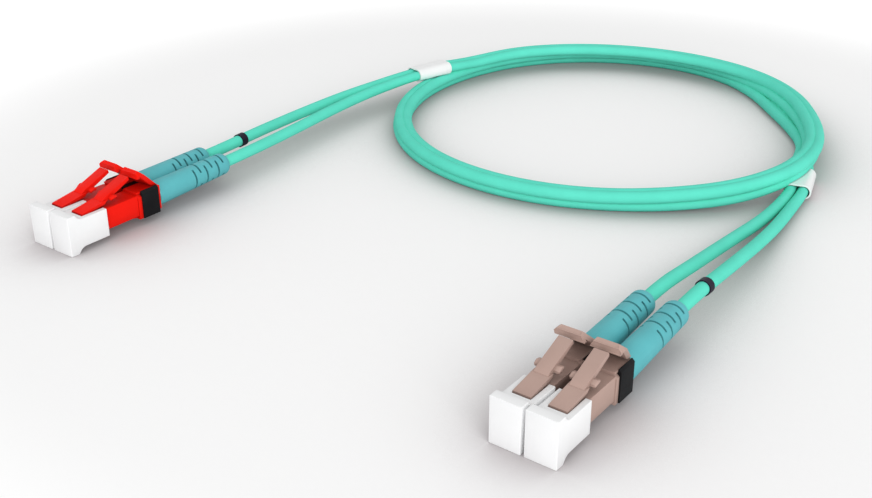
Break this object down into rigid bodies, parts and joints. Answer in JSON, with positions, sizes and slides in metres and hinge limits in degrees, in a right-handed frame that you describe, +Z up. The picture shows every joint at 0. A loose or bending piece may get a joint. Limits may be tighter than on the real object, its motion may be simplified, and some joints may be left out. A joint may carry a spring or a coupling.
{
  "type": "duplex lc fibre connector",
  "caption": "Duplex LC fibre connector pair on a coiled aqua patch lead, with dust caps, hinged trigger, latch arms and strain-relief boots.",
  "frame": {"origin": "centre of the near connector's footprint, on the surface it stands on", "axes": "+Z up; the dust caps face -Y and the lead leaves towards +Y; +X is to the right of the near connector seen from its caps"},
  "size_m": [0.1241, 0.1847, 0.012],
  "materials": {
    "cap_plastic": "satin",
    "beige_plastic": "satin",
    "red_plastic": "satin",
    "zirconia": "polished",
    "nickel_metal": "satin",
    "spring_steel": "satin",
    "black_plastic": "satin",
    "teal_boot": "satin",
    "aqua_jacket": "satin",
    "ring_plastic": "satin",
    "sleeve_plastic": "satin"
  },
  "bodies": {
    "root": {"near_left_housing": "beige_plastic", "near_left_rear_body": "black_plastic", "near_left_crimp_sleeve": "nickel_metal", "near_left_boot": "teal_boot", "near_right_housing": "beige_plastic", "near_right_rear_body": "black_plastic", "near_right_crimp_sleeve": "nickel_metal", "near_right_boot": "teal_boot", "near_duplex_clip": "black_plastic", "near_trigger_base": "beige_plastic", "far_left_housing": "red_plastic", "far_left_rear_body": "black_plastic", "far_left_crimp_sleeve": "nickel_metal", "far_left_boot": "teal_boot", "far_right_housing": "red_plastic", "far_right_rear_body": "black_plastic", "far_right_crimp_sleeve": "nickel_metal", "far_right_boot": "teal_boot", "far_duplex_clip": "black_plastic", "far_trigger_base": "red_plastic", "near_leg_left": "aqua_jacket", "near_leg_right": "aqua_jacket", "far_leg_left": "aqua_jacket", "far_leg_right": "aqua_jacket", "near_marker_ring": "ring_plastic", "far_marker_ring": "ring_plastic", "near_sleeve": "sleeve_plastic", "far_sleeve": "sleeve_plastic", "cable_coil": "aqua_jacket"},
    "near_left_cap": {"near_left_dust_cap": "cap_plastic"},
    "near_left_latch_arm": {"near_left_latch": "beige_plastic"},
    "near_left_ferrule_set": {"near_left_ferrule": "zirconia", "near_left_ferrule_flange": "nickel_metal", "near_left_spring": "spring_steel"},
    "near_right_cap": {"near_right_dust_cap": "cap_plastic"},
    "near_right_latch_arm": {"near_right_latch": "beige_plastic"},
    "near_right_ferrule_set": {"near_right_ferrule": "zirconia", "near_right_ferrule_flange": "nickel_metal", "near_right_spring": "spring_steel"},
    "near_trigger_body": {"near_trigger": "beige_plastic"},
    "far_left_cap": {"far_left_dust_cap": "cap_plastic"},
    "far_left_latch_arm": {"far_left_latch": "red_plastic"},
    "far_left_ferrule_set": {"far_left_ferrule": "zirconia", "far_left_ferrule_flange": "nickel_metal", "far_left_spring": "spring_steel"},
    "far_right_cap": {"far_right_dust_cap": "cap_plastic"},
    "far_right_latch_arm": {"far_right_latch": "red_plastic"},
    "far_right_ferrule_set": {"far_right_ferrule": "zirconia", "far_right_ferrule_flange": "nickel_metal", "far_right_spring": "spring_steel"},
    "far_trigger_body": {"far_trigger": "red_plastic"}
  },
  "joints": [
    {"name": "near_left_cap_slide", "type": "slide", "parent": "root", "child": "near_left_cap", "axis": [0, -1, 0], "range_m": [0, 0.018]},
    {"name": "near_left_latch_hinge", "type": "hinge", "parent": "root", "child": "near_left_latch_arm", "pos_m": [-0.00313, -0.0172, 0.00695], "axis": [-1, 0, 0], "range_deg": [0, 5]},
    {"name": "near_left_ferrule_slide", "type": "slide", "parent": "root", "child": "near_left_ferrule_set", "axis": [0, 1, 0], "range_m": [0, 0.0008], "stiffness_N_per_m": 1200},
    {"name": "near_right_cap_slide", "type": "slide", "parent": "root", "child": "near_right_cap", "axis": [0, -1, 0], "range_m": [0, 0.018]},
    {"name": "near_right_latch_hinge", "type": "hinge", "parent": "root", "child": "near_right_latch_arm", "pos_m": [0.00313, -0.0172, 0.00695], "axis": [-1, 0, 0], "range_deg": [0, 5]},
    {"name": "near_right_ferrule_slide", "type": "slide", "parent": "root", "child": "near_right_ferrule_set", "axis": [0, 1, 0], "range_m": [0, 0.0008], "stiffness_N_per_m": 1200},
    {"name": "near_trigger_hinge", "type": "hinge", "parent": "root", "child": "near_trigger_body", "pos_m": [0, 0.0015, 0.0074], "axis": [1, 0, 0], "range_deg": [0, 10], "stiffness_Nm_per_rad": 0.02},
    {"name": "far_left_cap_slide", "type": "slide", "parent": "root", "child": "far_left_cap", "axis": [0, -1, 0], "range_m": [0, 0.018]},
    {"name": "far_left_latch_hinge", "type": "hinge", "parent": "root", "child": "far_left_latch_arm", "pos_m": [-0.11489, -0.01545, 0.00695], "axis": [-1, 0, 0], "range_deg": [0, 5]},
    {"name": "far_left_ferrule_slide", "type": "slide", "parent": "root", "child": "far_left_ferrule_set", "axis": [0, 1, 0], "range_m": [0, 0.0008], "stiffness_N_per_m": 1200},
    {"name": "far_right_cap_slide", "type": "slide", "parent": "root", "child": "far_right_cap", "axis": [0, -1, 0], "range_m": [0, 0.018]},
    {"name": "far_right_latch_hinge", "type": "hinge", "parent": "root", "child": "far_right_latch_arm", "pos_m": [-0.10863, -0.01545, 0.00695], "axis": [-1, 0, 0], "range_deg": [0, 5]},
    {"name": "far_right_ferrule_slide", "type": "slide", "parent": "root", "child": "far_right_ferrule_set", "axis": [0, 1, 0], "range_m": [0, 0.0008], "stiffness_N_per_m": 1200},
    {"name": "far_trigger_hinge", "type": "hinge", "parent": "root", "child": "far_trigger_body", "pos_m": [-0.11176, 0.00325, 0.0074], "axis": [1, 0, 0], "range_deg": [0, 10], "stiffness_Nm_per_rad": 0.02}
  ],
  "couplings": [
    {"joint": "near_left_latch_hinge", "follows": "near_trigger_hinge", "ratio": 0.5},
    {"joint": "near_right_latch_hinge", "follows": "near_trigger_hinge", "ratio": 0.5},
    {"joint": "far_left_latch_hinge", "follows": "far_trigger_hinge", "ratio": 0.5},
    {"joint": "far_right_latch_hinge", "follows": "far_trigger_hinge", "ratio": 0.5}
  ]
}
